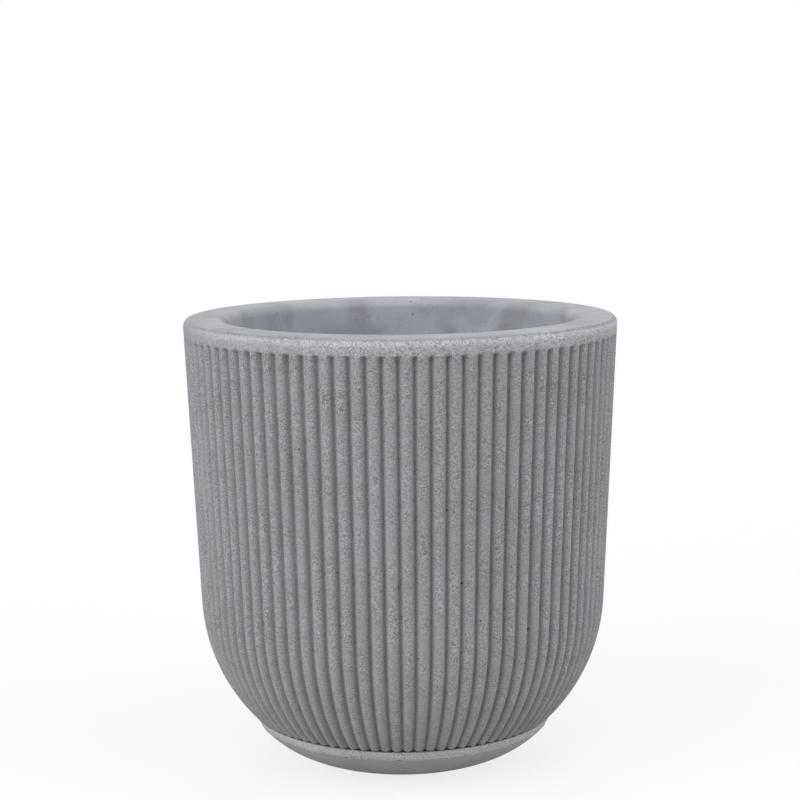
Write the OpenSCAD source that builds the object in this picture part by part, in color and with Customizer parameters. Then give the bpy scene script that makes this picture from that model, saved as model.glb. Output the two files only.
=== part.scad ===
// Round ribbed concrete planter that nests in its own drip saucer, in millimetres, +Z up.
// The origin is on the floor, under the middle of the planter.

/* [Pot] */
// Outside diameter of the pot just under its rounded rim
rim_diameter = 220; // [200:1:260]
// Height of the planter from the floor to the top of the rim
overall_height = 228; // [190:1:300]
// Lean of the pot's wall from upright, in degrees
wall_lean = 2.5; // [1:0.1:4]
// Height above the floor where the wall starts to curve into the bowl
bowl_start = 82.5; // [76:0.5:100]
// Radius of the bowl's curve, seen in section
bowl_radius = 90; // [84:1:100]
// Thickness of the pot's wall
wall_thickness = 21.5; // [14:0.5:26]
// Thickness of the pot's floor
floor_thickness = 16; // [12:0.5:24]
// Rounding of the rim's outer edge
rim_outer_round = 3.4; // [1.5:0.1:5]
// Rounding of the rim's inner edge
rim_inner_round = 5; // [2:0.1:8]

/* [Ribs] */
// Number of upright ribs round the pot
rib_count = 89; // [48:1:100]
// Depth of the grooves between the ribs
groove_depth = 2.7; // [1:0.1:3.5]
// Width of the grooves, the same from the rim to the shoulder, so that the ribs grow slender
groove_width = 4.8; // [3:0.1:6]
// Share of that depth that the ribs' rounded crowns take, from 0 for flat crowns
rib_crown = 0.6; // [0:0.05:0.9]
// Height of the plain band from the top of the rim to the ribs
band_height = 8; // [6:0.5:15]
// Turn of the groove nearest the front, in degrees
rib_turn = -0.6; // [-2:0.1:2]

/* [Saucer] */
// Height of the saucer's lip above the floor
saucer_height = 22.5; // [20:0.5:28]
// Gap between the saucer's lip and the pot's shoulder above it
shoulder_gap = 0.8; // [0.3:0.1:2]
// How far the saucer's lip stands back from the ribs' crests
lip_setback = 0.9; // [0:0.1:4]
// Height of the upright band at the saucer's lip
lip_band = 1.9; // [1.7:0.1:4]
// Rounding of the lip's outer edge
lip_round = 0.6; // [0.5:0.1:1.6]
// Radius of the curve of the saucer's side, seen in section
saucer_curve = 53; // [48:1:60]
// Radius of the saucer's flat underside
foot_radius = 47; // [44:0.5:52]
// Thickness of the saucer's side
saucer_wall = 8.5; // [6:0.5:10]
// Thickness of the saucer's floor
saucer_floor = 9; // [6:0.5:10]
// Gap between the saucer's dish and the pot's foot inside it
dish_clearance = 3; // [1:0.5:4]

/* [Pot rests] */
// Number of cast bars on the saucer's floor that hold the pot clear of the water
rest_count = 3; // [3:1:6]
// Height of the bars
rest_height = 3; // [2:0.5:5]
// Width of the bars
rest_width = 7; // [4:0.5:10]
// Distance that the bars stop short of the drain hole and of the dish's side
rest_margin = 3; // [2:0.5:6]

/* [Drain plug] */
// Diameter of the drain hole in the pot's floor
drain_diameter = 22; // [14:1:26]
// Room round the plug's sealing rings
ring_clearance = 0.06; // [0.03:0.01:0.1]
// Room round the plug's shank between its rings
shank_clearance = 1; // [0.5:0.1:2]
// Number of sealing rings on the shank
ring_count = 3; // [2:1:4]
// Height of each sealing ring
ring_height = 1.8; // [1:0.1:2.5]
// Length of shank left plain at its lower end
shank_tip = 2; // [1:0.5:4]
// How far the shank stops short of the pot's underside
shank_recess = 2; // [0:0.5:4]
// How far the plug's flange reaches past the hole
flange_reach = 5; // [3:0.5:8]
// Thickness of the plug's flange
flange_height = 3; // [2:0.5:5]
// Diameter of the plug's finger knob
knob_diameter = 15; // [12:0.5:20]
// Height of the plug's finger knob above its flange
knob_height = 13; // [10:0.5:18]
// Diameter of the neck under the finger knob
neck_diameter = 8; // [6:0.5:11]

/* [Foot pads] */
// Number of rubber pads under the saucer
pad_count = 4; // [3:1:6]
// Diameter of a pad
pad_diameter = 13; // [8:0.5:16]
// Height of a pad
pad_height = 1.5; // [1:0.1:3]
// Distance of the pads from the edge of the saucer's underside
pad_margin = 7; // [4:0.5:10]
// Rounding of a pad's lower edge
pad_round = 0.5; // [0.2:0.1:0.8]

/* [Hidden] */
$fn = 96;
// How far a hollow reaches past the faces that it opens
cut = 1;

// The pot's wall line and the curve of its bowl
rim_r = rim_diameter/2;
rim_edge_z = overall_height - rim_outer_round;
lean_slope = tan(wall_lean);
function wall_r(z) = rim_r - (rim_edge_z - z)*lean_slope;
bowl_centre = [
    wall_r(bowl_start) - bowl_radius*cos(wall_lean),
    bowl_start + bowl_radius*sin(wall_lean)
];
function bowl_r(z) = bowl_centre[0] + sqrt(pow(bowl_radius, 2) - pow(bowl_centre[1] - z, 2));

// Heights from the floor up
base_z = pad_height;
saucer_floor_z = base_z + saucer_floor;
foot_z = saucer_floor_z + rest_height;
floor_z = foot_z + floor_thickness;
shoulder_z = saucer_height + shoulder_gap;
band_z = overall_height - band_height;

// The saucer's side is one curve, and its dish and the pot's foot share that curve's centre
lip_r = bowl_r(shoulder_z) - lip_setback;
lip_z = saucer_height - lip_band;
function curve_centre(a, b, r) =
    let (chord = b - a, rise = sqrt(r*r - chord*chord/4))
    (a + b)/2 + [chord[1], -chord[0]]*rise/norm(chord);
side_centre = curve_centre([lip_r, lip_z], [foot_radius, base_z], saucer_curve);
dish_curve = saucer_curve - saucer_wall;
foot_curve = dish_curve - dish_clearance;
dish_floor_r = side_centre[0] + sqrt(pow(dish_curve, 2) - pow(side_centre[1] - saucer_floor_z, 2));

// The inner wall of the pot
inner_curve = bowl_radius - wall_thickness;
inner_bend = bowl_centre + inner_curve*[cos(wall_lean), -sin(wall_lean)];
mouth_z = overall_height - rim_inner_round;
mouth_r = inner_bend[0] + (mouth_z - inner_bend[1])*lean_slope;

// The ribs' crests stand this far inside the plain band above them
rib_inset = 0.12;

// How finely the pot's skin is divided
rib_points = 4;
bowl_steps = 5;
curve_steps = 3;

// Points of an arc in section, from one angle to another
function arc(centre, radius, from, to, steps) = [
    for (i = [0:steps])
        let (angle = from + (to - from)*i/steps)
        centre + radius*[cos(angle), sin(angle)]
];
// The angle at which an arc reaches a height on its lower outer quarter
function angle_at(centre, radius, z) = asin((z - centre[1])/radius);

// The pot's section as rows, from its foot up the outside, over the rim and down to its inner floor
foot_rows = arc(
    side_centre, foot_curve,
    angle_at(side_centre, foot_curve, foot_z),
    angle_at(side_centre, foot_curve, shoulder_z),
    curve_steps
);
rib_rows = concat(
    arc(bowl_centre, bowl_radius, angle_at(bowl_centre, bowl_radius, shoulder_z), -wall_lean, bowl_steps),
    [[wall_r(band_z), band_z]]
);
rim_rows = concat(
    [[wall_r(band_z), band_z]],
    arc([rim_r - rim_outer_round, rim_edge_z], rim_outer_round, 0, 90, curve_steps),
    arc([mouth_r + rim_inner_round, mouth_z], rim_inner_round, 90, 180, curve_steps)
);
inner_rows = arc(
    bowl_centre, inner_curve,
    -wall_lean,
    angle_at(bowl_centre, inner_curve, floor_z),
    bowl_steps
);

// The drain plug
drain_r = drain_diameter/2;
ring_r = drain_r - ring_clearance;
shank_r = drain_r - shank_clearance;
shank_z = foot_z + shank_recess;
ring_pitch = (floor_z - shank_z - shank_tip)/ring_count;
flange_r = drain_r + flange_reach;
flange_top_z = floor_z + flange_height;
knob_r = knob_diameter/2;
knob_edge = 2.5;
knob_low_z = flange_top_z + knob_height - 2*knob_edge;

// The pads
pad_r = pad_diameter/2;
pad_ring_r = foot_radius - pad_margin - pad_r;

concrete_grey = "#8e8e91";
rubber_black = "#2b2b2c";

// A curve round the saucer's centre, filled in towards the axis, between two heights
module dish_section(radius, low, high) {
    intersection() {
        union() {
            translate(side_centre) circle(r = radius);
            translate([0, low]) square([side_centre[0], high - low]);
        }
        translate([0, low]) square([rim_r, high - low]);
    }
}

// The upright limit of the saucer's side, rounded at its lip
module lip_section() {
    square([lip_r, saucer_height - lip_round]);
    square([lip_r - lip_round, saucer_height]);
    translate([lip_r - lip_round, saucer_height - lip_round]) circle(r = lip_round);
}

// Share of the groove's depth at a place across one rib, from one crest at 0 to the next at 1,
// where the ribs are a given pitch apart: a round-bottomed channel between rounded crowns
function groove_drop(place, pitch) =
    let (
        away = abs(0.5 - place),
        share = min(1, away*pitch/(groove_width/2)),
        channel = 1 - share*share*(3 - 2*share),
        crown = pow(1 - 2*away, 2)
    )
    channel*(1 - rib_crown) + crown*rib_crown;

// One row of points round the pot, with a number of points to each rib
function ring(row, points_per_rib, depth) = [
    for (i = [0:rib_count*points_per_rib - 1])
        let (
            angle = rib_turn - 90 + (i/points_per_rib + 0.5)*360/rib_count,
            pitch = 2*PI*row[0]/rib_count,
            r = row[0] - depth*groove_drop((i%points_per_rib)/points_per_rib, pitch)
        )
        [r*cos(angle), r*sin(angle), row[1]]
];

// The pot as one closed skin. Plain rows have one point to each rib, on its crest.
module pot_skin() {
    rings = concat(
        [for (row = foot_rows) ring(row, 1, 0)],
        [for (row = rib_rows) ring([row[0] - rib_inset, row[1]], rib_points, groove_depth)],
        [for (row = concat(rim_rows, inner_rows)) ring(row, 1, 0)]
    );
    starts = [for (k = 0, sum = 0; k < len(rings); sum = sum + len(rings[k]), k = k + 1) sum];
    function at(k, i) = starts[k] + i%len(rings[k]);
    function even_strip(k) = [
        for (i = [0:len(rings[k]) - 1])
            [at(k, i), at(k + 1, i), at(k + 1, i + 1), at(k, i + 1)]
    ];
    function fan_out(k) = [
        for (rib = [0:rib_count - 1], s = [0:rib_points])
            let (i = rib*rib_points + s)
            s < rib_points
                ? [at(k, rib), at(k + 1, i), at(k + 1, i + 1)]
                : [at(k, rib), at(k + 1, i), at(k, rib + 1)]
    ];
    function fan_in(k) = [
        for (rib = [0:rib_count - 1], s = [0:rib_points])
            let (i = rib*rib_points + s)
            s < rib_points
                ? [at(k, i), at(k + 1, rib), at(k, i + 1)]
                : [at(k + 1, rib), at(k + 1, rib + 1), at(k, i)]
    ];
    function strip(k) =
        let (here = len(rings[k]), next = len(rings[k + 1]))
        here == next ? even_strip(k) : here < next ? fan_out(k) : fan_in(k);
    last = len(rings) - 1;
    foot_middle = starts[last] + len(rings[last]);
    floor_middle = foot_middle + 1;
    polyhedron(
        points = concat([for (one = rings) each one], [[0, 0, foot_z], [0, 0, floor_z]]),
        faces = concat(
            [for (k = [0:last - 1]) each strip(k)],
            [for (i = [0:rib_count - 1]) [foot_middle, at(0, i), at(0, i + 1)]],
            [for (i = [0:rib_count - 1]) [floor_middle, at(last, i + 1), at(last, i)]]
        )
    );
}

module pot() {
    color(concrete_grey)
        difference() {
            pot_skin();
            translate([0, 0, foot_z - cut])
                cylinder(r = drain_r, h = floor_thickness + 2*cut);
        }
}

module saucer() {
    rest_start = drain_r + rest_margin;
    rest_end = dish_floor_r - rest_margin;
    color(concrete_grey) {
        rotate_extrude()
            difference() {
                intersection() {
                    dish_section(saucer_curve, base_z, saucer_height);
                    lip_section();
                }
                dish_section(dish_curve, saucer_floor_z, saucer_height + cut);
            }
        for (i = [0:rest_count - 1])
            rotate(90 + i*360/rest_count)
                translate([rest_start, -rest_width/2, saucer_floor_z - cut])
                    cube([rest_end - rest_start, rest_width, rest_height + cut]);
    }
}

module drain_plug() {
    color(rubber_black)
        rotate_extrude()
            union() {
                translate([0, shank_z]) square([shank_r, floor_z - shank_z]);
                for (i = [0:ring_count - 1])
                    translate([0, shank_z + shank_tip + i*ring_pitch])
                        square([ring_r, ring_height]);
                translate([0, floor_z]) square([flange_r, flange_height]);
                translate([0, flange_top_z]) square([neck_diameter/2, knob_height]);
                translate([0, knob_low_z]) square([knob_r - knob_edge, 2*knob_edge]);
                translate([knob_r - knob_edge, knob_low_z + knob_edge]) circle(r = knob_edge);
            }
}

module foot_pad(index) {
    color(rubber_black)
        rotate(90 + index*360/pad_count)
            translate([pad_ring_r, 0, 0])
                rotate_extrude()
                    union() {
                        square([pad_r - pad_round, pad_height]);
                        translate([0, pad_round]) square([pad_r, pad_height - pad_round]);
                        translate([pad_r - pad_round, pad_round]) circle(r = pad_round);
                    }
}

pot();
saucer();
drain_plug();
for (i = [1:pad_count])
    foot_pad(i);
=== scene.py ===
import math

import bmesh
import bpy
from mathutils import Euler, Matrix, Vector


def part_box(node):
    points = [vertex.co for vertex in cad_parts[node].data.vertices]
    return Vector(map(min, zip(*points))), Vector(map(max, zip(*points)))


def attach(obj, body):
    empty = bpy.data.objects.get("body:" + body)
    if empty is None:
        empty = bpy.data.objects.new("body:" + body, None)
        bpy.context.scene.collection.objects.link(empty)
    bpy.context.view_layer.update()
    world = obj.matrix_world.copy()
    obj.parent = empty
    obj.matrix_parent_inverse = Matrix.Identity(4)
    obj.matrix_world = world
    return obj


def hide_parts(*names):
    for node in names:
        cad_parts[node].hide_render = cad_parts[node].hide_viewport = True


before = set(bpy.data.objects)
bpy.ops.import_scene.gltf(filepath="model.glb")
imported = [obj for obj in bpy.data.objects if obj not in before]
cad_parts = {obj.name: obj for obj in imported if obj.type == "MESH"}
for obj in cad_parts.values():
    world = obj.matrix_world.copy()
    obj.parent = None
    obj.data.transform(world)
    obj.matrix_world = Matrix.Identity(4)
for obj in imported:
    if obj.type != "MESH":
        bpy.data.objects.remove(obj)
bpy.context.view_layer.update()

mm = 0.001
mergeGap = 0.005 * mm  # points closer than this become one
scene = bpy.context.scene
scene.view_settings.view_transform = "Standard"
print("frame loaded:", sorted(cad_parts))


def linear(hexColour):  # sRGB hex to the linear numbers that shaders take
    parts = [int(hexColour[i:i + 2], 16) / 255 for i in (1, 3, 5)]
    return (*[p / 12.92 if p <= 0.04045 else ((p + 0.055) / 1.055) ** 2.4 for p in parts], 1.0)


def addNode(tree, kind, values=None, **settings):  # one node with its settings, values and links
    made = tree.nodes.new(kind)
    for name, setting in settings.items():
        setattr(made, name, setting)
    for key, value in (values or {}).items():
        if isinstance(value, bpy.types.NodeSocket):
            tree.links.new(value, made.inputs[key])
        else:
            made.inputs[key].default_value = value
    return made


def fillRamp(ramp, stops):  # stops are (place, hex colour)
    while len(ramp.elements) < len(stops):
        ramp.elements.new(0.5)
    for element, (place, hexColour) in zip(ramp.elements, stops):
        element.position = place
        element.color = linear(hexColour)


# Cast concrete: cement paste with sand in it. Where the mould was smooth the paste closes over and
# dries in soft clouds; where it was rubbed the sand shows as pale and dark grains with small air holes.
potConcrete = {
    "clouds": [(0.30, "#8e8d91"), (0.50, "#959498"), (0.70, "#9b9a9f")],
    "cloudSize": 34,  # mm
    "tints": [(0.34, "#999a9c"), (0.50, "#a3a4a8"), (0.66, "#acaeb3")],
    "tintSize": 27,  # mm
    "tintShift": (143, -23, -144),  # mm, where the clouds lie
    "tintShare": 0.85,  # share of the tints in the smooth paste
    "tintOnSand": 0.1,  # and where the sand is bared
    "inside": [(0.36, "#919399"), (0.50, "#9d9fa7"), (0.64, "#a8abb4")],  # the inside's paste, painted lighter and bluer for the light that falls in the pot
    # the lower part is tinted warmer and lighter: painted bounce light from the floor
    "bounceTint": "#9d9b99",
    "bounceTintHeight": 85,  # mm
    "bounceTintShare": 0.7,
    "grainSize": 0.55,  # mm
    "grain": 0.58,  # how far a grain's tone swings
    "patchSize": 11,  # mm
    "patchSwing": 0.42,  # how far the sand comes and goes in patches
    "grooveSand": 0.35,  # sand in the grooves, next to the crests
    "speckSpacing": 2.3,  # mm
    "speckSize": 0.42,  # mm
    "speckLight": 0.30,
    "pitSpacing": 7.5,  # mm
    "pitSize": 0.62,  # mm
    "pitDark": 0.55,
    "pitDepth": 2.5,  # next to a grain's height
    "pitAbove": 0.66,  # cells drawn above this hold an air hole
    # painted shade in the grooves, with darker spots of it where the spot noise is high
    "grooveShade": 0.27,
    "spotSize": 2.4,  # mm
    "spotDark": 0.18,
    "sideSand": 0.0,  # sand of the rim on its left, next to the front
    "sidePale": 0.1,  # paleness of the rim there; towards the front and right it grows, partly real rubbing and partly painted light
    "sandReach": 100,  # mm from the middle to the front, over which the rim's sand grows
    "paleReach": 50,  # mm over which its paleness grows
    "rubbedTurn": 0.25,  # how far the rubbed side leans from the front to the right
    "rubbedFrom": 0.6,  # sand share from which a surface is a rubbed edge
    "rubbedLight": 0.55,
    "roughness": 0.88,
    "specular": 0.3,
    "bump": 0.14,  # mm
    "bumpStrength": 0.7,
}
saucerConcrete = {
    **potConcrete,
    "clouds": [(0.30, "#a1a1a0"), (0.50, "#aaaaa9"), (0.70, "#b2b2b1")],
    "tintShare": 0.2,
    "bounceTintShare": 0.0,
    "grooveShade": 0.5,  # painted shade in the seam under the pot
    "spotDark": 0.1,
    "sidePale": 1.0,
    "rubbedLight": 0.22,
}


def castConcrete(name, look):
    material = bpy.data.materials.new(name)
    material.use_nodes = True
    tree = material.node_tree
    shader = tree.nodes["Principled BSDF"]
    coords = addNode(tree, "ShaderNodeTexCoord").outputs["Object"]
    rubShare = addNode(tree, "ShaderNodeAttribute", attribute_name="sandShare").outputs["Fac"]
    grooveShare = addNode(tree, "ShaderNodeAttribute", attribute_name="grooveShare").outputs["Fac"]
    insideShare = addNode(tree, "ShaderNodeAttribute", attribute_name="insideShare").outputs["Fac"]

    cloud = addNode(
        tree, "ShaderNodeTexNoise",
        {"Vector": coords, "Scale": 1 / (look["cloudSize"] * mm), "Detail": 5.0, "Roughness": 0.6},
    )
    cloudRamp = addNode(tree, "ShaderNodeValToRGB", {"Fac": cloud.outputs["Fac"]})
    fillRamp(cloudRamp.color_ramp, look["clouds"])
    tintShift = [shift * mm for shift in look["tintShift"]]
    tintPlace = addNode(tree, "ShaderNodeMapping", {"Vector": coords, "Location": tintShift}).outputs[0]
    tint = addNode(
        tree, "ShaderNodeTexNoise",
        {"Vector": tintPlace, "Scale": 1 / (look["tintSize"] * mm), "Detail": 4.0, "Distortion": 0.7},
    )
    tintRamp = addNode(tree, "ShaderNodeValToRGB", {"Fac": tint.outputs["Fac"]})
    fillRamp(tintRamp.color_ramp, look["tints"])
    tintHere = addNode(
        tree, "ShaderNodeMapRange",
        {0: rubShare, 1: 0.1, 2: 0.6, 3: look["tintShare"], 4: look["tintOnSand"]},
    ).outputs[0]
    paste = addNode(
        tree, "ShaderNodeMix",
        {0: tintHere, 6: cloudRamp.outputs["Color"], 7: tintRamp.outputs["Color"]},
        data_type="RGBA",
    ).outputs[2]
    # inside the pot the paste is painted lighter and bluer: painted light
    insideLitRamp = addNode(tree, "ShaderNodeValToRGB", {"Fac": tint.outputs["Fac"]})
    fillRamp(insideLitRamp.color_ramp, look["inside"])
    paste = addNode(
        tree, "ShaderNodeMix",
        {0: insideShare, 6: paste, 7: insideLitRamp.outputs["Color"]},
        data_type="RGBA",
    ).outputs[2]
    # the floor's bounce light, painted on as a warmer, neutral tint towards the floor
    place = addNode(tree, "ShaderNodeSeparateXYZ", {0: coords}).outputs
    bounceTintHere = addNode(
        tree, "ShaderNodeMapRange",
        {0: place["Z"], 2: look["bounceTintHeight"] * mm, 3: look["bounceTintShare"], 4: 0.0},
    ).outputs[0]
    paste = addNode(
        tree, "ShaderNodeMix", {0: bounceTintHere, 6: paste, 7: linear(look["bounceTint"])}, data_type="RGBA"
    ).outputs[2]

    # sand grains, bared in patches on the rubbed crests
    patch = addNode(
        tree, "ShaderNodeTexNoise",
        {"Vector": coords, "Scale": 1 / (look["patchSize"] * mm), "Detail": 4.0, "Roughness": 0.6},
    )
    patchSwing = addNode(
        tree, "ShaderNodeMapRange",
        {0: patch.outputs["Fac"], 1: 0.3, 2: 0.7, 3: -look["patchSwing"], 4: look["patchSwing"]},
    ).outputs[0]
    bareShare = addNode(
        tree, "ShaderNodeMath", {0: rubShare, 1: patchSwing}, operation="ADD", use_clamp=True
    ).outputs[0]
    crestShare = addNode(
        tree, "ShaderNodeMapRange", {0: grooveShare, 1: 0.1, 2: 0.6, 3: 1.0, 4: look["grooveSand"]}
    ).outputs[0]
    # the rim's sand is bared most at the front and least on the left; its paleness grows the same way,
    # partly real rubbing and partly painted light
    toFront = addNode(
        tree, "ShaderNodeMath", {0: place["X"], 1: look["rubbedTurn"]}, operation="MULTIPLY"
    ).outputs[0]
    rubbedSide = addNode(
        tree, "ShaderNodeMath", {0: toFront, 1: place["Y"]}, operation="SUBTRACT"
    ).outputs[0]
    frontSand = addNode(
        tree, "ShaderNodeMapRange",
        {0: rubbedSide, 2: look["sandReach"] * mm, 3: look["sideSand"], 4: 1.0},
    ).outputs[0]
    frontPaleAndLit = addNode(
        tree, "ShaderNodeMapRange",
        {0: rubbedSide, 2: look["paleReach"] * mm, 3: look["sidePale"], 4: 1.0},
    ).outputs[0]
    onRim = addNode(tree, "ShaderNodeMapRange", {0: rubShare, 1: look["rubbedFrom"], 2: 0.9}).outputs[0]
    rimSand = addNode(tree, "ShaderNodeMix", {0: onRim, 2: 1.0, 3: frontSand}).outputs[0]
    bareCrest = addNode(
        tree, "ShaderNodeMath", {0: bareShare, 1: crestShare}, operation="MULTIPLY"
    ).outputs[0]
    sandShare = addNode(
        tree, "ShaderNodeMath", {0: bareCrest, 1: rimSand}, operation="MULTIPLY"
    ).outputs[0]
    sand = addNode(
        tree, "ShaderNodeTexVoronoi", {"Vector": coords, "Scale": 1 / (look["grainSize"] * mm)}
    )
    sandDraw = addNode(tree, "ShaderNodeSeparateColor", {"Color": sand.outputs["Color"]})
    sandSwing = addNode(tree, "ShaderNodeMapRange", {0: sandDraw.outputs["Red"], 3: -1.0, 4: 1.0})
    sandHeight = addNode(
        tree, "ShaderNodeMath", {0: sandSwing.outputs[0], 1: sandShare}, operation="MULTIPLY"
    ).outputs[0]
    sandTone = addNode(
        tree, "ShaderNodeMath", {0: sandHeight, 1: look["grain"], 2: 1.0}, operation="MULTIPLY_ADD"
    ).outputs[0]

    # pale quartz grains
    speck = addNode(
        tree, "ShaderNodeTexVoronoi", {"Vector": coords, "Scale": 1 / (look["speckSpacing"] * mm)}
    )
    speckEdge = look["speckSize"] / look["speckSpacing"]
    speckDot = addNode(
        tree, "ShaderNodeMapRange",
        {0: speck.outputs["Distance"], 1: speckEdge * 0.5, 2: speckEdge, 3: 1.0, 4: 0.0},
    )
    speckHere = addNode(
        tree, "ShaderNodeMath", {0: speckDot.outputs[0], 1: sandShare}, operation="MULTIPLY"
    ).outputs[0]
    speckTone = addNode(
        tree, "ShaderNodeMath",
        {0: speckHere, 1: look["speckLight"], 2: sandTone},
        operation="MULTIPLY_ADD",
    ).outputs[0]

    # air holes, in one cell of three
    pit = addNode(
        tree, "ShaderNodeTexVoronoi", {"Vector": coords, "Scale": 1 / (look["pitSpacing"] * mm)}
    )
    pitEdge = look["pitSize"] / look["pitSpacing"]
    pitDot = addNode(
        tree, "ShaderNodeMapRange",
        {0: pit.outputs["Distance"], 1: pitEdge * 0.6, 2: pitEdge, 3: 1.0, 4: 0.0},
    )
    pitDraw = addNode(tree, "ShaderNodeSeparateColor", {"Color": pit.outputs["Color"]})
    pitChosen = addNode(
        tree, "ShaderNodeMath",
        {0: pitDraw.outputs["Red"], 1: look["pitAbove"]},
        operation="GREATER_THAN",
    ).outputs[0]
    pitHere = addNode(
        tree, "ShaderNodeMath", {0: pitDot.outputs[0], 1: pitChosen}, operation="MULTIPLY"
    ).outputs[0]
    pitTone = addNode(
        tree, "ShaderNodeMath",
        {0: pitHere, 1: -look["pitDark"], 2: speckTone},
        operation="MULTIPLY_ADD",
    ).outputs[0]

    # edges rubbed bare are paler, and the grooves are darkened with painted shade
    rubbed = addNode(
        tree, "ShaderNodeMapRange",
        {0: rubShare, 1: look["rubbedFrom"], 2: 1.0, 3: 0.0, 4: look["rubbedLight"]},
    ).outputs[0]
    # rubbed edges are paler, and more so towards the front and right as painted light
    edgeTone = addNode(
        tree, "ShaderNodeMath", {0: rubbed, 1: frontPaleAndLit, 2: pitTone}, operation="MULTIPLY_ADD"
    ).outputs[0]
    spot = addNode(
        tree, "ShaderNodeTexNoise",
        {"Vector": coords, "Scale": 1 / (look["spotSize"] * mm), "Detail": 2.0},
    )
    # painted shade for the grooves and the saucer's seam, stronger in spots
    paintedShade = addNode(
        tree, "ShaderNodeMapRange",
        {
            0: spot.outputs["Fac"],
            1: 0.55,
            2: 0.7,
            3: look["grooveShade"],
            4: look["grooveShade"] + look["spotDark"],
        },
    ).outputs[0]
    deep = addNode(
        tree, "ShaderNodeMapRange", {0: grooveShare, 1: 0.3, 2: 1.0}, interpolation_type="SMOOTHSTEP"
    ).outputs[0]
    paintedShadeHere = addNode(tree, "ShaderNodeMath", {0: deep, 1: paintedShade}, operation="MULTIPLY").outputs[0]
    tone = addNode(tree, "ShaderNodeMath", {0: edgeTone, 1: paintedShadeHere}, operation="SUBTRACT").outputs[0]
    colour = addNode(
        tree, "ShaderNodeMix", {0: 1.0, 6: paste, 7: tone}, data_type="RGBA", blend_type="MULTIPLY"
    ).outputs[2]

    height = addNode(
        tree, "ShaderNodeMath",
        {0: pitHere, 1: -look["pitDepth"], 2: sandHeight},
        operation="MULTIPLY_ADD",
    ).outputs[0]
    bump = addNode(
        tree, "ShaderNodeBump",
        {"Height": height, "Distance": look["bump"] * mm, "Strength": look["bumpStrength"]},
    )
    tree.links.new(colour, shader.inputs["Base Color"])
    tree.links.new(bump.outputs["Normal"], shader.inputs["Normal"])
    shader.inputs["Roughness"].default_value = look["roughness"]
    shader.inputs["Specular IOR Level"].default_value = look["specular"]
    return material


# Moulded rubber: near black, with the dull bloom that a mould's etched face leaves
plugRubber = {
    "clouds": [(0.35, "#262627"), (0.65, "#323233")],
    "bloomSize": 9,  # mm
    "etchSize": 0.35,  # mm
    "dullest": 0.72,  # roughness where the bloom is thick
    "smoothest": 0.54,
    "bump": 0.04,  # mm
    "bumpStrength": 0.6,
}


def mouldedRubber(name, look):
    material = bpy.data.materials.new(name)
    material.use_nodes = True
    tree = material.node_tree
    shader = tree.nodes["Principled BSDF"]
    coords = addNode(tree, "ShaderNodeTexCoord").outputs["Object"]
    bloom = addNode(
        tree, "ShaderNodeTexNoise",
        {"Vector": coords, "Scale": 1 / (look["bloomSize"] * mm), "Detail": 3.0},
    )
    bloomRamp = addNode(tree, "ShaderNodeValToRGB", {"Fac": bloom.outputs["Fac"]})
    fillRamp(bloomRamp.color_ramp, look["clouds"])
    etch = addNode(
        tree, "ShaderNodeTexNoise",
        {"Vector": coords, "Scale": 1 / (look["etchSize"] * mm), "Detail": 1.0},
    )
    dull = addNode(
        tree, "ShaderNodeMapRange", {0: bloom.outputs["Fac"], 3: look["smoothest"], 4: look["dullest"]}
    )
    bump = addNode(
        tree, "ShaderNodeBump",
        {
            "Height": etch.outputs["Fac"],
            "Distance": look["bump"] * mm,
            "Strength": look["bumpStrength"],
        },
    )
    tree.links.new(bloomRamp.outputs["Color"], shader.inputs["Base Color"])
    tree.links.new(dull.outputs[0], shader.inputs["Roughness"])
    tree.links.new(bump.outputs["Normal"], shader.inputs["Normal"])
    return material


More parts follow.
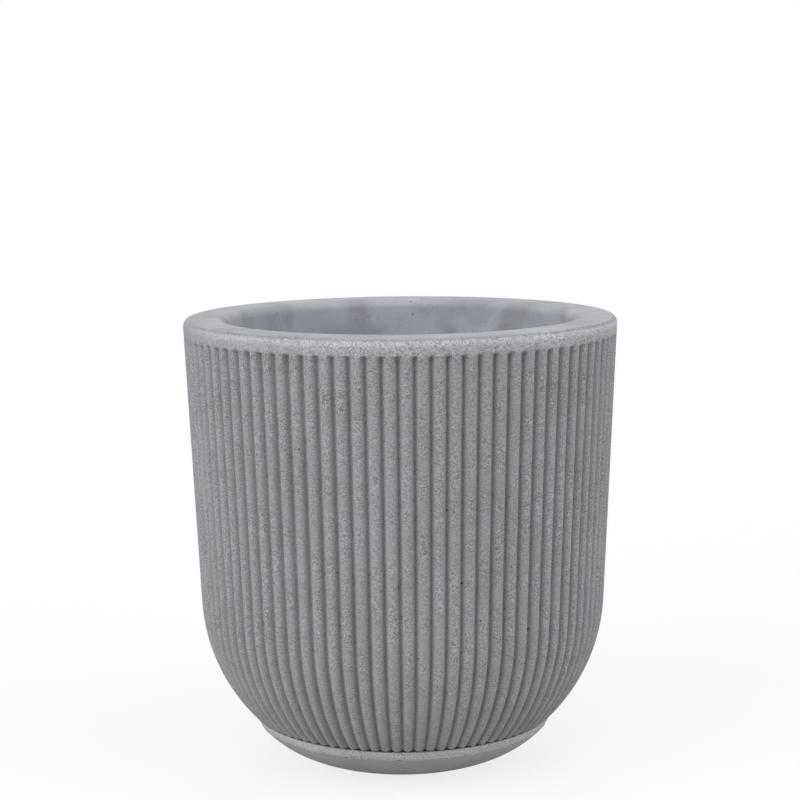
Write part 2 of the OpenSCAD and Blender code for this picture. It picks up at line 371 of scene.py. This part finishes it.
def turnedTree():  # turns a profile round Z and presses upright ribs into it
    tree = bpy.data.node_groups.new("turnedCasting", "GeometryNodeTree")
    names = {
        "Profile": "NodeSocketGeometry",
        "Points Round": "NodeSocketInt",
        "Rib Count": "NodeSocketInt",
        "Groove Depth": "NodeSocketFloat",
        "Groove Width": "NodeSocketFloat",
        "Rib Crown": "NodeSocketFloat",
        "Crown Low": "NodeSocketFloat",
        "Crown High": "NodeSocketFloat",
        "First Groove": "NodeSocketFloat",
        "Wear": "NodeSocketFloat",
        "Wear Size": "NodeSocketFloat",
        "Seed": "NodeSocketFloat",
        "Material": "NodeSocketMaterial",
    }
    for name, kind in names.items():
        tree.interface.new_socket(name, in_out="INPUT", socket_type=kind)
    tree.interface.new_socket("Geometry", in_out="OUTPUT", socket_type="NodeSocketGeometry")
    given = addNode(tree, "NodeGroupInput").outputs
    profile = given["Profile"]

    rows = addNode(
        tree, "GeometryNodeAttributeDomainSize", {"Geometry": profile}, component="MESH"
    ).outputs["Point Count"]
    columns = addNode(
        tree, "ShaderNodeMath", {0: given["Points Round"], 1: 1.0}, operation="ADD"
    ).outputs[0]
    grid = addNode(
        tree, "GeometryNodeMeshGrid", {"Vertices X": columns, "Vertices Y": rows}
    ).outputs["Mesh"]
    index = addNode(tree, "GeometryNodeInputIndex").outputs[0]
    row = addNode(tree, "ShaderNodeMath", {0: index, 1: rows}, operation="MODULO").outputs[0]
    line = addNode(tree, "ShaderNodeMath", {0: index, 1: rows}, operation="DIVIDE").outputs[0]
    column = addNode(tree, "ShaderNodeMath", {0: line}, operation="FLOOR").outputs[0]
    share = addNode(
        tree, "ShaderNodeMath", {0: column, 1: given["Points Round"]}, operation="DIVIDE"
    ).outputs[0]
    angle = addNode(
        tree, "ShaderNodeMath",
        {0: share, 1: math.tau, 2: given["First Groove"]},
        operation="MULTIPLY_ADD",
    ).outputs[0]

    sampled = {}
    for name, kind in (
        ("position", "FLOAT_VECTOR"),
        ("ribShare", "FLOAT"),
        ("sandShare", "FLOAT"),
        ("insideShare", "FLOAT"),
    ):
        if name == "position":
            value = addNode(tree, "GeometryNodeInputPosition").outputs[0]
        else:
            value = addNode(
                tree, "GeometryNodeInputNamedAttribute", {"Name": name}, data_type=kind
            ).outputs["Attribute"]
        sampled[name] = addNode(
            tree, "GeometryNodeSampleIndex",
            {"Geometry": profile, "Value": value, "Index": row},
            data_type=kind,
        ).outputs[0]
    place = addNode(tree, "ShaderNodeSeparateXYZ", {0: sampled["position"]}).outputs

    # 1 in a groove, 0 on a crest; the channel keeps its width, so the ribs grow slender low down
    ribTurn = addNode(
        tree, "ShaderNodeMath", {0: share, 1: given["Rib Count"]}, operation="MULTIPLY"
    ).outputs[0]
    ribPlace = addNode(tree, "ShaderNodeMath", {0: ribTurn}, operation="FRACT").outputs[0]
    swing = addNode(
        tree, "ShaderNodeMath", {0: ribPlace, 1: 2.0, 2: -1.0}, operation="MULTIPLY_ADD"
    ).outputs[0]
    size = addNode(tree, "ShaderNodeMath", {0: swing}, operation="ABSOLUTE").outputs[0]
    fromGroove = addNode(tree, "ShaderNodeMath", {0: 1.0, 1: size}, operation="SUBTRACT").outputs[0]
    halfTurn = addNode(
        tree, "ShaderNodeMath", {0: math.pi, 1: given["Rib Count"]}, operation="DIVIDE"
    ).outputs[0]
    halfPitch = addNode(
        tree, "ShaderNodeMath", {0: place["X"], 1: halfTurn}, operation="MULTIPLY"
    ).outputs[0]
    away = addNode(
        tree, "ShaderNodeMath", {0: fromGroove, 1: halfPitch}, operation="MULTIPLY"
    ).outputs[0]
    halfWidth = addNode(
        tree, "ShaderNodeMath", {0: given["Groove Width"], 1: 0.5}, operation="MULTIPLY"
    ).outputs[0]
    wave = addNode(
        tree, "ShaderNodeMapRange",
        {0: away, 2: halfWidth, 3: 1.0, 4: 0.0},
        interpolation_type="SMOOTHSTEP",
    ).outputs[0]
    crown = addNode(tree, "ShaderNodeMath", {0: size, 1: size}, operation="MULTIPLY").outputs[0]
    # under the plain band the crowns flatten, so that the crests run on into it
    crownHere = addNode(
        tree, "ShaderNodeMapRange",
        {0: place["Z"], 1: given["Crown Low"], 2: given["Crown High"], 3: given["Rib Crown"], 4: 0.0},
        interpolation_type="SMOOTHSTEP",
    ).outputs[0]
    drop = addNode(tree, "ShaderNodeMix", {0: crownHere, 2: wave, 3: crown}).outputs[0]
    groove = addNode(
        tree, "ShaderNodeMath", {0: drop, 1: sampled["ribShare"]}, operation="MULTIPLY"
    ).outputs[0]

    cosine = addNode(tree, "ShaderNodeMath", {0: angle}, operation="COSINE").outputs[0]
    sine = addNode(tree, "ShaderNodeMath", {0: angle}, operation="SINE").outputs[0]
    depth = addNode(
        tree, "ShaderNodeMath", {0: groove, 1: given["Groove Depth"]}, operation="MULTIPLY"
    ).outputs[0]
    ribRadius = addNode(
        tree, "ShaderNodeMath", {0: place["X"], 1: depth}, operation="SUBTRACT"
    ).outputs[0]

    # wear takes a little off the sandy skin, never adds to it
    smoothX = addNode(
        tree, "ShaderNodeMath", {0: cosine, 1: place["X"]}, operation="MULTIPLY"
    ).outputs[0]
    smoothY = addNode(tree, "ShaderNodeMath", {0: sine, 1: place["X"]}, operation="MULTIPLY").outputs[0]
    smooth = addNode(tree, "ShaderNodeCombineXYZ", {0: smoothX, 1: smoothY, 2: place["Z"]}).outputs[0]
    noiseScale = addNode(
        tree, "ShaderNodeMath", {0: 1.0, 1: given["Wear Size"]}, operation="DIVIDE"
    ).outputs[0]
    wearNoise = addNode(
        tree, "ShaderNodeTexNoise",
        {"Vector": smooth, "W": given["Seed"], "Scale": noiseScale, "Detail": 3.0},
        noise_dimensions="4D",
    ).outputs["Fac"]
    wearHere = addNode(
        tree, "ShaderNodeMath", {0: wearNoise, 1: sampled["sandShare"]}, operation="MULTIPLY"
    ).outputs[0]
    wornOff = addNode(
        tree, "ShaderNodeMath", {0: wearHere, 1: given["Wear"]}, operation="MULTIPLY"
    ).outputs[0]
    radius = addNode(
        tree, "ShaderNodeMath", {0: ribRadius, 1: wornOff}, operation="SUBTRACT"
    ).outputs[0]
    x = addNode(tree, "ShaderNodeMath", {0: cosine, 1: radius}, operation="MULTIPLY").outputs[0]
    y = addNode(tree, "ShaderNodeMath", {0: sine, 1: radius}, operation="MULTIPLY").outputs[0]
    position = addNode(tree, "ShaderNodeCombineXYZ", {0: x, 1: y, 2: place["Z"]}).outputs[0]

    mesh = addNode(tree, "GeometryNodeSetPosition", {"Geometry": grid, "Position": position}).outputs[0]
    for name, value in (
        ("grooveShare", groove),
        ("sandShare", sampled["sandShare"]),
        ("insideShare", sampled["insideShare"]),
    ):
        mesh = addNode(
            tree, "GeometryNodeStoreNamedAttribute", {"Geometry": mesh, "Name": name, "Value": value}
        ).outputs[0]
    mesh = addNode(
        tree, "GeometryNodeMergeByDistance", {"Geometry": mesh, "Distance": mergeGap}
    ).outputs[0]
    mesh = addNode(tree, "GeometryNodeSetShadeSmooth", {"Geometry": mesh}).outputs[0]
    mesh = addNode(tree, "GeometryNodeRealizeInstances", {"Geometry": mesh}).outputs[0]
    mesh = addNode(
        tree, "GeometryNodeSetMaterial", {"Geometry": mesh, "Material": given["Material"]}
    ).outputs[0]
    addNode(tree, "NodeGroupOutput", {"Geometry": mesh})
    return tree


def ringTree():  # sets copies of one piece round Z
    tree = bpy.data.node_groups.new("ringOfPieces", "GeometryNodeTree")
    names = {
        "Piece": "NodeSocketGeometry",
        "Count": "NodeSocketInt",
        "Ring Radius": "NodeSocketFloat",
        "First Turn": "NodeSocketFloat",
        "Material": "NodeSocketMaterial",
    }
    for name, kind in names.items():
        tree.interface.new_socket(name, in_out="INPUT", socket_type=kind)
    tree.interface.new_socket("Geometry", in_out="OUTPUT", socket_type="NodeSocketGeometry")
    given = addNode(tree, "NodeGroupInput").outputs
    points = addNode(tree, "GeometryNodePoints", {"Count": given["Count"]}).outputs[0]
    index = addNode(tree, "GeometryNodeInputIndex").outputs[0]
    share = addNode(
        tree, "ShaderNodeMath", {0: index, 1: given["Count"]}, operation="DIVIDE"
    ).outputs[0]
    angle = addNode(
        tree, "ShaderNodeMath",
        {0: share, 1: math.tau, 2: given["First Turn"]},
        operation="MULTIPLY_ADD",
    ).outputs[0]
    turn = addNode(tree, "ShaderNodeCombineXYZ", {2: angle}).outputs[0]
    out = addNode(tree, "ShaderNodeCombineXYZ", {0: given["Ring Radius"]}).outputs[0]
    place = addNode(
        tree, "ShaderNodeVectorRotate", {"Vector": out, "Rotation": turn}, rotation_type="EULER_XYZ"
    ).outputs[0]
    placed = addNode(
        tree, "GeometryNodeSetPosition", {"Geometry": points, "Position": place}
    ).outputs[0]
    copies = addNode(
        tree, "GeometryNodeInstanceOnPoints",
        {"Points": placed, "Instance": given["Piece"], "Rotation": turn},
    ).outputs[0]
    mesh = addNode(tree, "GeometryNodeRealizeInstances", {"Geometry": copies}).outputs[0]
    mesh = addNode(
        tree, "GeometryNodeSetMaterial", {"Geometry": mesh, "Material": given["Material"]}
    ).outputs[0]
    addNode(tree, "NodeGroupOutput", {"Geometry": mesh})
    return tree


def grow(name, baseMesh, tree, values):  # runs a tree on a base mesh and keeps a plain mesh
    base = bpy.data.objects.new(name + "Base", baseMesh)
    scene.collection.objects.link(base)
    modifier = base.modifiers.new("shape", "NODES")
    modifier.node_group = tree
    for item in tree.interface.items_tree:
        if item.in_out == "INPUT" and item.name in values:
            modifier[item.identifier] = values[item.name]
    evaluated = base.evaluated_get(bpy.context.evaluated_depsgraph_get())
    mesh = bpy.data.meshes.new_from_object(evaluated)
    bpy.data.objects.remove(base)
    made = bpy.data.objects.new(name, mesh)
    mesh.name = name
    scene.collection.objects.link(made)
    print(name, "has", sum(len(p.vertices) - 2 for p in mesh.polygons), "triangles")
    return made


def profileMesh(name, rows):  # rows are (radius, height, rib share, sand share, inside share), in mm
    mesh = bpy.data.meshes.new(name)
    mesh.from_pydata([(row[0] * mm, 0, row[1] * mm) for row in rows], [], [])
    for key, place in (("ribShare", 2), ("sandShare", 3), ("insideShare", 4)):
        attribute = mesh.attributes.new(key, "FLOAT", "POINT")
        attribute.data.foreach_set("value", [row[place] if place < len(row) else 0 for row in rows])
    return mesh


def arc(centre, radius, start, end, steps, *shares):  # angles in degrees, 0 outwards and 90 up
    turns = [math.radians(start + (end - start) * i / steps) for i in range(steps + 1)]
    x, z = centre
    return [(x + radius * math.cos(t), z + radius * math.sin(t), *shares) for t in turns]


def along(a, b, steps, *shares):  # points between a and b, both left out
    dx, dz = b[0] - a[0], b[1] - a[1]
    return [(a[0] + dx * i / steps, a[1] + dz * i / steps, *shares) for i in range(1, steps)]


def lowAngle(centre, radius, z):  # where an arc's lower outer quarter reaches a height
    return math.degrees(math.asin((z - centre[1]) / radius))


turned = turnedTree()
ringed = ringTree()
plain = {  # turned, with no ribs and no wear
    "Rib Count": 0,
    "Groove Depth": 0.0,
    "First Groove": 0.0,
    "Wear": 0.0,
    "Wear Size": 1.0,
    "Seed": 0.0,
}
potLow, potHigh = (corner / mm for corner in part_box("pot"))
saucerLow, saucerHigh = (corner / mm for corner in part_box("saucer"))
plugLow, plugHigh = (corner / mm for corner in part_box("drain_plug"))
print("node trees built")

potShape = {  # mm, where no note says otherwise
    "wallLean": 2.5,  # degrees
    "bowlStart": 82.5,
    "bowlRadius": 90,
    "wallThickness": 21.5,
    "floorThickness": 16,
    "rimOuterRound": 3.4,
    "rimInnerRound": 5,
    "bandHeight": 8,
    "shoulderGap": 0.8,
    "edgeRound": 0.3,
    "drainRadius": 11,
    "drainRound": 1,
    "ribCount": 89,
    "pointsPerRib": 12,
    "grooveDepth": 2.7,
    "grooveWidth": 4.8,
    "ribCrown": 0.6,
    "crownFade": 7,  # mm over which the crowns flatten under the band
    "grooveEnd": 2.0,  # mm over which the grooves rise to the band
    "endDrop": 1.6,  # mm from the band down to where that rise starts
    "firstGroove": -0.6,  # degrees from the front
    "runOut": 40,  # mm over which the grooves fade at the seam
    "runOutShare": 0.95,
    "ribSand": 0.53,  # how far the sand is bared on the ribs, next to the rim's edge
    "lowSand": 0.6,  # share of that at the seam
    "lowSandHeight": 60,
    "bandSand": 0.78,
    "rimSand": 0.86,
    "rimSandDrop": 1,  # mm under the rim's rounding where that holds
    "sandFade": 0.25,  # sand lost at each step over the rim's rounding
    "insideSand": 0.1,
    "wear": 0.1,
    "wearSize": 14,
    "seed": 3.0,
}
saucerShape = {  # mm
    "lipBand": 1.9,
    "lipRound": 0.4,
    "lipSand": 0.86,
    "rubbedBand": 4.6,
    "rubbedLean": 2.1,
    "rubbedSand": (0.15, 0.55),  # just under the rubbed band, and at its lower edge
    "sideCurve": 53,
    "footRadius": 47,
    "wall": 8.5,
    "floor": 9,
    "dishClearance": 3,
    "edgeRound": 0.6,
    "sideSand": 0.05,
    "dishSand": 0.2,
    "ledgeSand": 0.3,
    "ledgeShade": (1, 0.85, 0.4, 0.1, 0),  # painted shade under the pot's shoulder, from the lip's edge inwards
    "wear": 0.12,
    "wearSize": 5,
    "seed": 8.0,
    "pointsRound": 480,
    "restCount": 3,
    "restWidth": 7,
    "restHeight": 3,
    "restMargin": 3,
    "restEdge": 0.8,
}

# the lines that the pot and the saucer share
rimRadius = min(potHigh.x, potHigh.y, -potLow.x, -potLow.y)
rimEdge = potHigh.z - potShape["rimOuterRound"]
lean = math.radians(potShape["wallLean"])
bowlWall = rimRadius - (rimEdge - potShape["bowlStart"]) * math.tan(lean)
bowlCentre = (
    bowlWall - potShape["bowlRadius"] * math.cos(lean),
    potShape["bowlStart"] + potShape["bowlRadius"] * math.sin(lean),
)
bandLow = potHigh.z - potShape["bandHeight"]
lipRadius = min(saucerHigh.x, saucerHigh.y)
lipLow = (lipRadius, saucerHigh.z - saucerShape["lipBand"])
footEdge = (saucerShape["footRadius"], saucerLow.z)


def curveCentre(a, b, radius):  # centre of the curve that bulges out from a down to b
    chord = (b[0] - a[0], b[1] - a[1])
    length = math.hypot(*chord)
    rise = math.sqrt(radius ** 2 - length ** 2 / 4)
    return ((a[0] + b[0]) / 2 + chord[1] * rise / length, (a[1] + b[1]) / 2 - chord[0] * rise / length)


sideCentre = curveCentre(lipLow, footEdge, saucerShape["sideCurve"])
dishCurve = saucerShape["sideCurve"] - saucerShape["wall"]
footCurve = dishCurve - saucerShape["dishClearance"]


def potRows():
    s = potShape
    wall = lambda z: rimRadius - (rimEdge - z) * math.tan(lean)
    shoulder = saucerHigh.z + s["shoulderGap"]
    floor = potLow.z + s["floorThickness"]
    innerCurve = s["bowlRadius"] - s["wallThickness"]
    innerBend = (
        bowlCentre[0] + innerCurve * math.cos(lean), bowlCentre[1] - innerCurve * math.sin(lean)
    )
    mouthZ = potHigh.z - s["rimInnerRound"]
    mouth = innerBend[0] + (mouthZ - innerBend[1]) * math.tan(lean)
    edge = s["edgeRound"]
    footAngles = [lowAngle(sideCentre, footCurve, z) for z in (potLow.z, shoulder)]
    rows = arc(sideCentre, footCurve, *footAngles, 4, 0, 0)
    lowest = lowAngle(bowlCentre, s["bowlRadius"], shoulder + edge)
    start = arc(bowlCentre, s["bowlRadius"], lowest, -s["wallLean"], 20, 1, s["ribSand"])
    start[1:1] = along(start[0], start[1], 10, 1, s["ribSand"])[:1]  # keeps the edge crisp
    fade = lambda z: s["runOutShare"] + (1 - s["runOutShare"]) * min(1, (z - shoulder) / s["runOut"])
    lowSand = lambda z: s["lowSand"] + (1 - s["lowSand"]) * min(1, (z - shoulder) / s["lowSandHeight"])
    start = [(r, z, fade(z), sand * lowSand(z)) for r, z, rib, sand in start]
    # the edge over the seam, eased in two steps
    inset = (start[0][0] - 2 * edge, shoulder)
    rows += along(rows[-1], inset, 2, 0, 0) + [(*inset, s["runOutShare"], 0)]
    rows += [(start[0][0] - 0.9 * edge, shoulder + 0.1 * edge, s["runOutShare"], 0.5)]
    rows += start
    fadeLow = bandLow - s["crownFade"]
    endLow = bandLow - s["endDrop"]
    rows += along(start[-1], (wall(fadeLow), fadeLow), 5, 1, s["ribSand"])
    rows += [(wall(fadeLow), fadeLow, 1, s["ribSand"])]
    rows += along((wall(fadeLow), fadeLow), (wall(endLow), endLow), 4, 1, s["ribSand"])
    for i in range(7):  # the grooves rise to the plain band, and the sand with them
        t = i / 6
        z = endLow + s["grooveEnd"] * t
        rows.append(
            (wall(z), z, 1 - t * t * (3 - 2 * t), s["ribSand"] + (s["bandSand"] - s["ribSand"]) * t),
        )
    underRim = rimEdge - s["rimSandDrop"]
    rows.append((wall(underRim), underRim, 0, s["rimSand"]))
    outer = arc((rimRadius - s["rimOuterRound"], rimEdge), s["rimOuterRound"], 0, 90, 7, 0, 1)
    rows += [(*row[:3], min(1, s["sandFade"] * max(0, 6 - i))) for i, row in enumerate(outer)]
    inner = arc((mouth + s["rimInnerRound"], mouthZ), s["rimInnerRound"], 90, 180, 7, 0, 0)
    rows += along(outer[-1], inner[0], 3, 0, 0) + [(*row, i / 7) for i, row in enumerate(inner)]
    sand = s["insideSand"]
    floorAngle = lowAngle(bowlCentre, innerCurve, floor)
    bowl = arc(bowlCentre, innerCurve, -s["wallLean"], floorAngle, 9, 0, sand, 1)
    rows += along(inner[-1], bowl[0], 5, 0, sand, 1) + bowl
    ease = s["drainRound"]
    drain = s["drainRadius"] + ease
    rows += along(bowl[-1], (drain, floor), 3, 0, sand, 1)
    rows += arc((drain, floor - ease), ease, 90, 180, 3, 0, sand, 1)
    rows += arc((drain, potLow.z + ease), ease, 180, 270, 3, 0, sand)
    return rows + [rows[0]]


potFinish = castConcrete("castConcreteSandy", potConcrete)
potBase = profileMesh("potProfile", potRows())
pot = grow("ribbed_pot", potBase, turned, {
    "Points Round": potShape["ribCount"] * potShape["pointsPerRib"],
    "Rib Count": potShape["ribCount"],
    "Groove Depth": potShape["grooveDepth"] * mm,
    "Groove Width": potShape["grooveWidth"] * mm,
    "Rib Crown": potShape["ribCrown"],
    "Crown Low": (bandLow - potShape["crownFade"]) * mm,
    "Crown High": bandLow * mm,
    "First Groove": math.radians(potShape["firstGroove"] - 90),
    "Wear": potShape["wear"] * mm,
    "Wear Size": potShape["wearSize"] * mm,
    "Seed": potShape["seed"],
    "Material": potFinish,
})
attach(pot, "pot")
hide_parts("pot")
print("pot built")


def saucerRows():
    s = saucerShape
    edge = s["edgeRound"]
    floor = saucerLow.z + s["floor"]
    rubbedEdge = (lipRadius - s["rubbedLean"], saucerHigh.z - s["rubbedBand"])
    centre = curveCentre(rubbedEdge, footEdge, s["sideCurve"])
    sideAngles = [lowAngle(centre, s["sideCurve"], z) for z in (saucerLow.z, rubbedEdge[1])]
    side = arc(centre, s["sideCurve"], *sideAngles, 16, 0, s["sideSand"])
    lipCentre = (lipRadius - s["lipRound"], saucerHigh.z - s["lipRound"])
    lip = arc(lipCentre, s["lipRound"], 0, 90, 6, 0, s["lipSand"])
    dishAngles = [lowAngle(sideCentre, dishCurve, z) for z in (saucerHigh.z - edge, floor)]
    dish = arc(sideCentre, dishCurve, *dishAngles, 10, 0, s["dishSand"])
    ledge = (dish[0][0] + edge, saucerHigh.z)
    # the poles have no sand, so no wear, and close to a point
    rows = [(0, saucerLow.z, 0, 0)] + along((0, saucerLow.z), side[0], 4, 0, s["dishSand"])
    rows += [(side[0][0] - edge, saucerLow.z, 0, s["dishSand"])] + side[1:-1]
    underSand, edgeSand = s["rubbedSand"]
    rows += along(side[-2], side[-1], 3, 0, underSand)[-1:] + [(*rubbedEdge, 0, edgeSand)]
    rows += along(rubbedEdge, lip[0], 5, 0, s["lipSand"])[:1] + lip
    # a line of painted shade in the seam under the pot's shoulder, fading towards the dish
    across = zip(along(lip[-1], ledge, 6), s["ledgeShade"])
    rows += [(*point, paintedShade, s["ledgeSand"]) for point, paintedShade in across]
    eased = (dish[0][0] + 0.3 * edge, saucerHigh.z - 0.3 * edge)
    rows += [(*ledge, 0, s["ledgeSand"]), (*eased, 0, s["ledgeSand"])] + dish
    return rows + along(dish[-1], (0, floor), 5, 0, s["dishSand"]) + [(0, floor, 0, 0)]


saucerFinish = castConcrete("castConcreteSmooth", saucerConcrete)
saucer = grow("drip_saucer", profileMesh("saucerProfile", saucerRows()), turned, {
    **plain,
    "Points Round": saucerShape["pointsRound"],
    "Wear": saucerShape["wear"] * mm,
    "Wear Size": saucerShape["wearSize"] * mm,
    "Seed": saucerShape["seed"],
    "Material": saucerFinish,
})
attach(saucer, "saucer")
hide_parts("saucer")


def restBar():  # one cast bar with eased edges, its foot sunk in the saucer's floor
    s = saucerShape
    floor = saucerLow.z + s["floor"]
    dishFloor = sideCentre[0] + math.sqrt(dishCurve ** 2 - (sideCentre[1] - floor) ** 2)
    inner = potShape["drainRadius"] + s["restMargin"]
    outer = dishFloor - s["restMargin"]
    low = floor - s["restHeight"]
    high = floor + s["restHeight"]
    shape = bmesh.new()
    bmesh.ops.create_cube(shape, size=1)
    centre = Vector(((inner + outer) / 2, 0, (low + high) / 2))
    for vert in shape.verts:
        vert.co = Vector(
            (vert.co.x * (outer - inner), vert.co.y * s["restWidth"], vert.co.z * (high - low)),
        ) + centre
        vert.co *= mm
    upper = [edge for edge in shape.edges if any(v.co.z > floor * mm for v in edge.verts)]
    bmesh.ops.bevel(
        shape, geom=upper, offset=s["restEdge"] * mm, segments=3, affect="EDGES", profile=0.5
    )
    mesh = bpy.data.meshes.new("restBar")
    shape.to_mesh(mesh)
    shape.free()
    return mesh


rests = grow("saucer_rests", restBar(), ringed, {
    "Count": saucerShape["restCount"],
    "Ring Radius": 0.0,
    "First Turn": math.pi / 2,
    "Material": saucerFinish,
})
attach(rests, "saucer")
print("saucer built")

plugShape = {  # mm
    "shankRadius": 10,
    "ringRadius": 10.94,
    "ringCount": 3,
    "ringHeight": 1.8,
    "tip": 2,
    "flangeHeight": 3,
    "neckRadius": 4,
    "neckFillet": 1.5,
    "knobFillet": 0.8,
    "knobRadius": 7.5,
    "knobEdge": 2.5,
    "edgeRound": 0.6,
    "pointsRound": 96,
}


def plugRows():
    s = plugShape
    e = s["edgeRound"]
    flange = min(plugHigh.x, plugHigh.y)
    floor = potLow.z + potShape["floorThickness"]
    flangeTop = floor + s["flangeHeight"]
    pitch = (floor - plugLow.z - s["tip"]) / s["ringCount"]
    rows = [(0, plugLow.z, 0, 0)] + arc((s["shankRadius"] - e, plugLow.z + e), e, -90, 0, 3, 0, 0)
    for i in range(s["ringCount"]):
        z = plugLow.z + s["tip"] + i * pitch
        rows += [(s["shankRadius"], z, 0, 0)]
        rows += arc((s["ringRadius"] - e, z + e), e, -90, 0, 3, 0, 0)
        rows += arc((s["ringRadius"] - e, z + s["ringHeight"] - e), e, 0, 90, 3, 0, 0)
        rows += [(s["shankRadius"], z + s["ringHeight"], 0, 0)]
    rows += [(s["shankRadius"], floor, 0, 0)]
    rows += arc((flange - e, floor + e), e, -90, 0, 3, 0, 0)
    rows += arc((flange - e, flangeTop - e), e, 0, 90, 3, 0, 0)
    low, high, k = s["neckFillet"], s["knobFillet"], s["knobEdge"]
    rows += arc((s["neckRadius"] + low, flangeTop + low), low, 270, 180, 4, 0, 0)
    rows += arc((s["neckRadius"] + high, plugHigh.z - 2 * k - high), high, 180, 90, 3, 0, 0)
    rows += arc((s["knobRadius"] - k, plugHigh.z - k), k, -90, 90, 12, 0, 0)
    return rows + [(0, plugHigh.z, 0, 0)]


plugFinish = mouldedRubber("mouldedRubberPlug", plugRubber)
plug = grow("rubber_drain_plug", profileMesh("plugProfile", plugRows()), turned, {
    **plain,
    "Points Round": plugShape["pointsRound"],
    "Material": plugFinish,
})
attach(plug, "drain_plug")
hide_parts("drain_plug")
print("drain plug built")

padShape = {"edgeRound": 0.5, "pointsRound": 48}  # mm
padNames = sorted(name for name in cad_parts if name.startswith("foot_pad"))
padLow, padHigh = (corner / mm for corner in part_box(padNames[0]))


def padRows():
    e = padShape["edgeRound"]
    radius = (padHigh.y - padLow.y) / 2
    rows = [(0, 0, 0, 0), (radius / 2, 0, 0, 0)] + arc((radius - e, e), e, -90, 0, 4, 0, 0)
    return rows + [(radius, padHigh.z, 0, 0), (radius / 2, padHigh.z, 0, 0), (0, padHigh.z, 0, 0)]


padFinish = mouldedRubber("mouldedRubberPad", plugRubber)
onePad = grow("onePad", profileMesh("padProfile", padRows()), turned, {
    **plain,
    "Points Round": padShape["pointsRound"],
    "Material": padFinish,
})
padMesh = onePad.data
bpy.data.objects.remove(onePad)
padCentre = (padLow + padHigh) / 2
pads = grow("foot_pads", padMesh, ringed, {
    "Count": len(padNames),
    "Ring Radius": math.hypot(padCentre.x, padCentre.y) * mm,
    "First Turn": 0.0,
    "Material": padFinish,
})
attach(pads, "saucer")
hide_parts(*padNames)
print("pads built")

# The studio: a pale floor that reads as white, soft light from the sides and above, a little all round
studio = {
    "floorSize": 12,  # m
    "floorColour": "#f4f4f4",
    "floorGlow": 0.8,  # share of the floor's white that the shadow can't take away
    "floorBounce": "#b8b8b8",  # what it throws back at the planter
    "worldLight": 0.27,
    "lamps": {  # degrees round from the front, degrees up, degrees of spread, strength
        "softKey": (-55, 22, 60, 2.05),
        "softFill": (75, 20, 60, 1.45),
        "softTop": (0, 80, 60, 0.95),
        "softBack": (180, 30, 25, 0.6),
        "softFront": (0, 32, 50, 0.15),
    },
    "camera": (0.0, -0.9803, 0.3245),  # m
    "pitch": 8.144,  # degrees down
    "yaw": 0.025,  # degrees
    "roll": -0.563,  # degrees
    "lens": 87.0,  # mm
    "sensor": 36,  # mm
}


def shownRays(tree):  # 1 for what the camera sees, also in a gloss or through glass
    path = addNode(tree, "ShaderNodeLightPath").outputs
    glossy = addNode(
        tree, "ShaderNodeMath",
        {0: path["Is Camera Ray"], 1: path["Is Glossy Ray"]},
        operation="MAXIMUM",
    ).outputs[0]
    shown = addNode(
        tree, "ShaderNodeMath", {0: glossy, 1: path["Is Transmission Ray"]}, operation="MAXIMUM"
    ).outputs[0]
    return shown


def makeStudio():
    world = bpy.data.worlds.new("studioLight")
    scene.world = world
    world.use_nodes = True
    tree = world.node_tree
    shown = shownRays(tree)
    strength = addNode(
        tree, "ShaderNodeMapRange", {0: shown, 3: studio["worldLight"], 4: 1.0}
    ).outputs[0]
    background = tree.nodes["Background"]
    background.inputs["Color"].default_value = (1, 1, 1, 1)
    tree.links.new(strength, background.inputs["Strength"])

    shape = bmesh.new()
    bmesh.ops.create_grid(shape, x_segments=1, y_segments=1, size=studio["floorSize"] / 2)
    mesh = bpy.data.meshes.new("floor")
    shape.to_mesh(mesh)
    shape.free()
    floor = bpy.data.objects.new("floor", mesh)
    scene.collection.objects.link(floor)
    material = bpy.data.materials.new("paleStudioFloor")
    material.use_nodes = True
    tree = material.node_tree
    tree.nodes.remove(tree.nodes["Principled BSDF"])
    shown = shownRays(tree)
    seen = addNode(tree, "ShaderNodeBsdfDiffuse", {"Color": linear(studio["floorColour"])}).outputs[0]
    glow = addNode(tree, "ShaderNodeEmission").outputs[0]
    white = addNode(tree, "ShaderNodeMixShader", {0: studio["floorGlow"], 1: seen, 2: glow}).outputs[0]
    bounced = addNode(
        tree, "ShaderNodeBsdfDiffuse", {"Color": linear(studio["floorBounce"])}
    ).outputs[0]
    mixed = addNode(tree, "ShaderNodeMixShader", {0: shown, 1: bounced, 2: white}).outputs[0]
    tree.links.new(mixed, tree.nodes["Material Output"].inputs["Surface"])
    mesh.materials.append(material)

    for name, (turn, height, spread, strength) in studio["lamps"].items():
        light = bpy.data.lights.new(name, "SUN")
        light.angle = math.radians(spread)
        light.energy = strength
        lamp = bpy.data.objects.new(name, light)
        lamp.rotation_euler = Euler((math.radians(90 - height), 0, math.radians(turn)))
        scene.collection.objects.link(lamp)

    eye = bpy.data.cameras.new("camera")
    eye.lens = studio["lens"]
    eye.sensor_width = studio["sensor"]
    camera = bpy.data.objects.new("camera", eye)
    camera.location = studio["camera"]
    aim = Euler((math.radians(90 - studio["pitch"]), 0, math.radians(studio["yaw"]))).to_matrix()
    camera.rotation_euler = (aim @ Matrix.Rotation(math.radians(studio["roll"]), 3, "Z")).to_euler()
    scene.collection.objects.link(camera)
    scene.camera = camera


makeStudio()
print("studio set")
